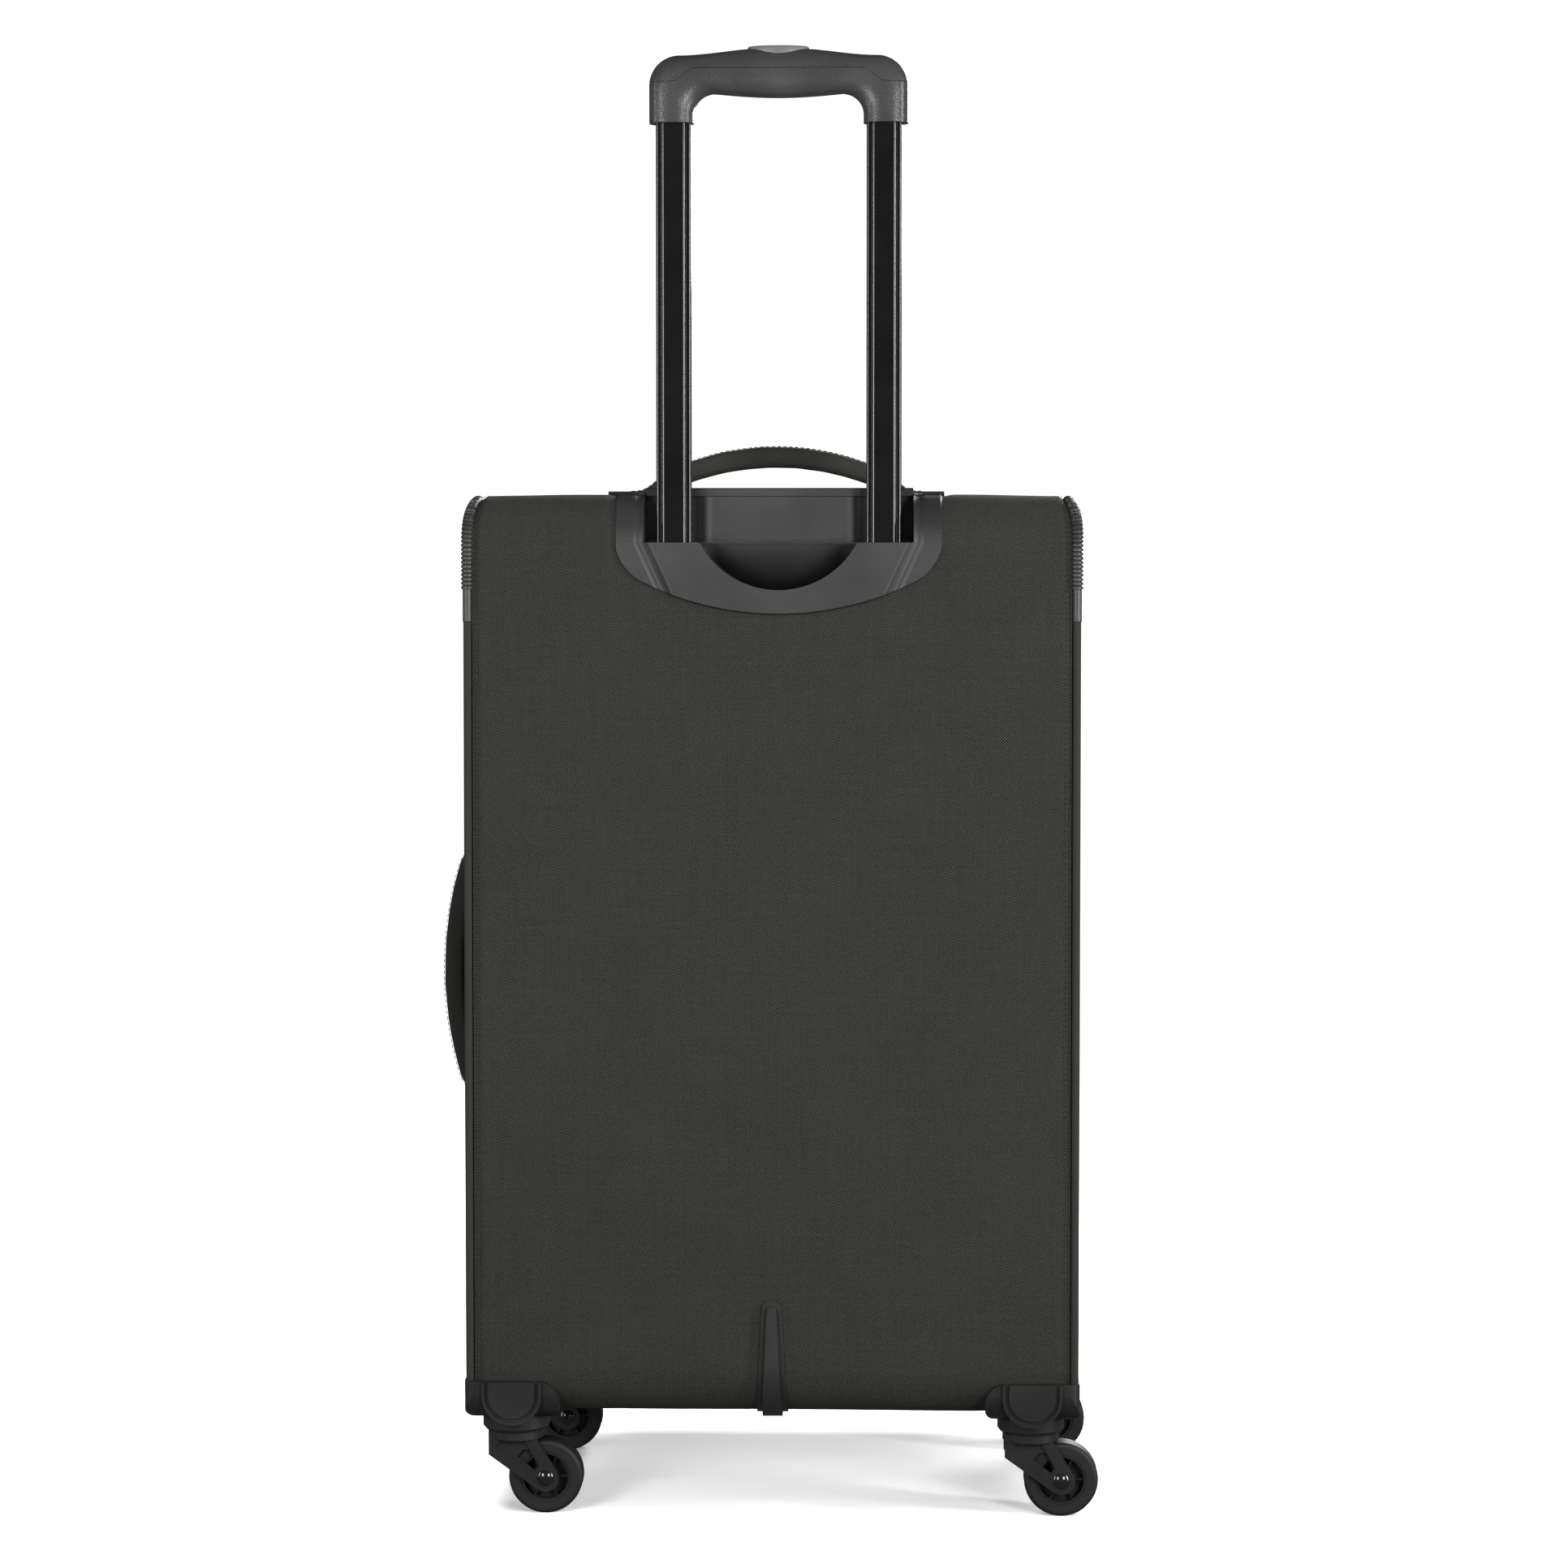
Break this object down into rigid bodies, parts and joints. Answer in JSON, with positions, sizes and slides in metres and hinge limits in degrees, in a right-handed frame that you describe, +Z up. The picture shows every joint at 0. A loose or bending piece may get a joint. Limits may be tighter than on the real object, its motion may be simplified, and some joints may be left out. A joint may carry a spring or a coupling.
{
  "type": "softside upright suitcase",
  "caption": "Softside upright suitcase with a hinged front lid, zipped pockets, padded carry handles, a sliding twin-tube trolley handle and swivelling spinner casters.",
  "frame": {"origin": "on the floor, at the middle of the suitcase's outer box", "axes": "+Z up, -Y the side with the trolley handle, +Y the side with the lid and pockets, -X the side with the side handle"},
  "size_m": [0.4505, 0.2817, 0.9848],
  "materials": {
    "shell_fabric": "dark olive-black twill, foam backed",
    "trim_fabric": "black webbing and piping cover",
    "lining_fabric": "smooth grey taffeta",
    "zipper_tape": "black zipper tape with coil teeth",
    "soft_rubber": "matte",
    "moulded_plastic": "fine texture",
    "inner_plastic": "plain",
    "steel_tube": "zinc plated",
    "black_tube": "gloss black coated",
    "button_plastic": "satin grey",
    "plain_steel": "plain",
    "slider_metal": "gunmetal",
    "caster_plastic": "satin black",
    "axle_metal": "dark polished cap",
    "wheel_tyre": "satin polyurethane"
  },
  "bodies": {
    "case": {"wrap_panel": "shell_fabric", "left_side_panel": "shell_fabric", "right_side_panel": "shell_fabric", "front_border": "shell_fabric", "lining": "lining_fabric", "back_board": "inner_plastic", "edge_piping": "trim_fabric", "corner_guards": "soft_rubber", "trolley_bezel": "moulded_plastic", "bottom_skid": "soft_rubber", "outer_tubes": "steel_tube", "tube_foot_bracket": "inner_plastic", "guide_bushes": "inner_plastic", "case_zipper": "zipper_tape", "handle_anchors": "trim_fabric", "rear_left_housing": "caster_plastic", "rear_right_housing": "caster_plastic", "front_left_housing": "caster_plastic", "front_right_housing": "caster_plastic"},
    "trolley": {"inner_tubes": "black_tube", "grip_upper": "moulded_plastic", "grip_lower": "moulded_plastic", "lock_blocks": "inner_plastic"},
    "button": {"release_button": "button_plastic", "push_rods": "plain_steel", "button_spring": "plain_steel"},
    "left_pin": {"left_lock_pin": "plain_steel"},
    "right_pin": {"right_lock_pin": "plain_steel"},
    "top_handle": {"top_handle": "trim_fabric"},
    "side_handle": {"side_handle": "trim_fabric"},
    "lid": {"lid_panel": "shell_fabric", "lid_zipper": "zipper_tape", "lower_pocket": "shell_fabric", "upper_pocket": "shell_fabric", "pocket_zippers": "zipper_tape", "lid_lining": "lining_fabric"},
    "left_main_slider": {"left_main_slider": "slider_metal"},
    "right_main_slider": {"right_main_slider": "slider_metal"},
    "left_main_puller": {"left_main_puller": "slider_metal"},
    "right_main_puller": {"right_main_puller": "slider_metal"},
    "upper_pocket_slider": {"upper_pocket_slider": "slider_metal"},
    "lower_pocket_slider": {"lower_pocket_slider": "slider_metal"},
    "upper_pocket_puller": {"upper_pocket_puller": "slider_metal"},
    "lower_pocket_puller": {"lower_pocket_puller": "slider_metal"},
    "rear_left_swivel": {"rear_left_fork": "caster_plastic", "rear_left_axle": "axle_metal"},
    "rear_left_wheel": {"rear_left_hub": "caster_plastic", "rear_left_tyre": "wheel_tyre"},
    "rear_right_swivel": {"rear_right_fork": "caster_plastic", "rear_right_axle": "axle_metal"},
    "rear_right_wheel": {"rear_right_hub": "caster_plastic", "rear_right_tyre": "wheel_tyre"},
    "front_left_swivel": {"front_left_fork": "caster_plastic", "front_left_axle": "axle_metal"},
    "front_left_wheel": {"front_left_hub": "caster_plastic", "front_left_tyre": "wheel_tyre"},
    "front_right_swivel": {"front_right_fork": "caster_plastic", "front_right_axle": "axle_metal"},
    "front_right_wheel": {"front_right_hub": "caster_plastic", "front_right_tyre": "wheel_tyre"}
  },
  "joints": [
    {"name": "trolley_slide", "type": "slide", "parent": "case", "child": "trolley", "axis": [0, 0, 1], "range_m": [-0.277, 0]},
    {"name": "button_press", "type": "slide", "parent": "trolley", "child": "button", "axis": [0, 0, -1], "range_m": [0, 0.004], "stiffness_N_per_m": 1500, "springref_m": -0.002, "deforming": ["button_spring"]},
    {"name": "left_pin_slide", "type": "slide", "parent": "trolley", "child": "left_pin", "axis": [1, 0, 0], "range_m": [0, 0.003]},
    {"name": "right_pin_slide", "type": "slide", "parent": "trolley", "child": "right_pin", "axis": [-1, 0, 0], "range_m": [0, 0.003]},
    {"name": "top_handle_tilt", "type": "hinge", "parent": "case", "child": "top_handle", "pos_m": [0.0105, -0.0145, 0.693], "axis": [1, 0, 0], "range_deg": [-20, 20], "stiffness_Nm_per_rad": 0.6},
    {"name": "side_handle_tilt", "type": "hinge", "parent": "case", "child": "side_handle", "pos_m": [-0.203, -0.0145, 0.359], "axis": [0, 0, 1], "range_deg": [-20, 20], "stiffness_Nm_per_rad": 0.6},
    {"name": "lid_hinge", "type": "hinge", "parent": "case", "child": "lid", "pos_m": [0.18825, 0.106, 0.375], "axis": [0, 0, -1], "range_deg": [0, 165]},
    {"name": "left_main_slider_run", "type": "slide", "parent": "lid", "child": "left_main_slider", "axis": [-1, 0, 0], "range_m": [0, 0.11]},
    {"name": "left_main_puller_swing", "type": "hinge", "parent": "left_main_slider", "child": "left_main_puller", "pos_m": [-0.003, 0.10955, 0.6563], "axis": [1, 0, 0], "range_deg": [0, 150]},
    {"name": "right_main_slider_run", "type": "slide", "parent": "lid", "child": "right_main_slider", "axis": [1, 0, 0], "range_m": [0, 0.11]},
    {"name": "right_main_puller_swing", "type": "hinge", "parent": "right_main_slider", "child": "right_main_puller", "pos_m": [0.015, 0.10955, 0.6563], "axis": [1, 0, 0], "range_deg": [0, 150]},
    {"name": "upper_pocket_slider_run", "type": "slide", "parent": "lid", "child": "upper_pocket_slider", "axis": [1, 0, 0], "range_m": [0, 0.236]},
    {"name": "upper_pocket_puller_swing", "type": "hinge", "parent": "upper_pocket_slider", "child": "upper_pocket_puller", "pos_m": [-0.112, 0.13215, 0.5718], "axis": [1, 0, 0], "range_deg": [0, 150]},
    {"name": "lower_pocket_slider_run", "type": "slide", "parent": "lid", "child": "lower_pocket_slider", "axis": [1, 0, 0], "range_m": [0, 0.236]},
    {"name": "lower_pocket_puller_swing", "type": "hinge", "parent": "lower_pocket_slider", "child": "lower_pocket_puller", "pos_m": [-0.112, 0.13815, 0.3838], "axis": [1, 0, 0], "range_deg": [0, 150]},
    {"name": "rear_left_swivel_turn", "type": "hinge", "parent": "case", "child": "rear_left_swivel", "pos_m": [-0.168, -0.104, 0.062], "axis": [0, 0, 1], "continuous": true},
    {"name": "rear_left_wheel_spin", "type": "hinge", "parent": "rear_left_swivel", "child": "rear_left_wheel", "pos_m": [-0.1475, -0.104, 0.025], "axis": [0, 1, 0], "continuous": true},
    {"name": "rear_right_swivel_turn", "type": "hinge", "parent": "case", "child": "rear_right_swivel", "pos_m": [0.18, -0.104, 0.062], "axis": [0, 0, 1], "continuous": true},
    {"name": "rear_right_wheel_spin", "type": "hinge", "parent": "rear_right_swivel", "child": "rear_right_wheel", "pos_m": [0.2005, -0.104, 0.025], "axis": [0, 1, 0], "continuous": true},
    {"name": "front_left_swivel_turn", "type": "hinge", "parent": "case", "child": "front_left_swivel", "pos_m": [-0.168, 0.075, 0.062], "axis": [0, 0, 1], "continuous": true},
    {"name": "front_left_wheel_spin", "type": "hinge", "parent": "front_left_swivel", "child": "front_left_wheel", "pos_m": [-0.1475, 0.075, 0.025], "axis": [0, 1, 0], "continuous": true},
    {"name": "front_right_swivel_turn", "type": "hinge", "parent": "case", "child": "front_right_swivel", "pos_m": [0.18, 0.075, 0.062], "axis": [0, 0, 1], "continuous": true},
    {"name": "front_right_wheel_spin", "type": "hinge", "parent": "front_right_swivel", "child": "front_right_wheel", "pos_m": [0.2005, 0.075, 0.025], "axis": [0, 1, 0], "continuous": true}
  ],
  "couplings": [
    {"joint": "left_pin_slide", "follows": "button_press", "ratio": 0.75},
    {"joint": "right_pin_slide", "follows": "button_press", "ratio": 0.75}
  ]
}
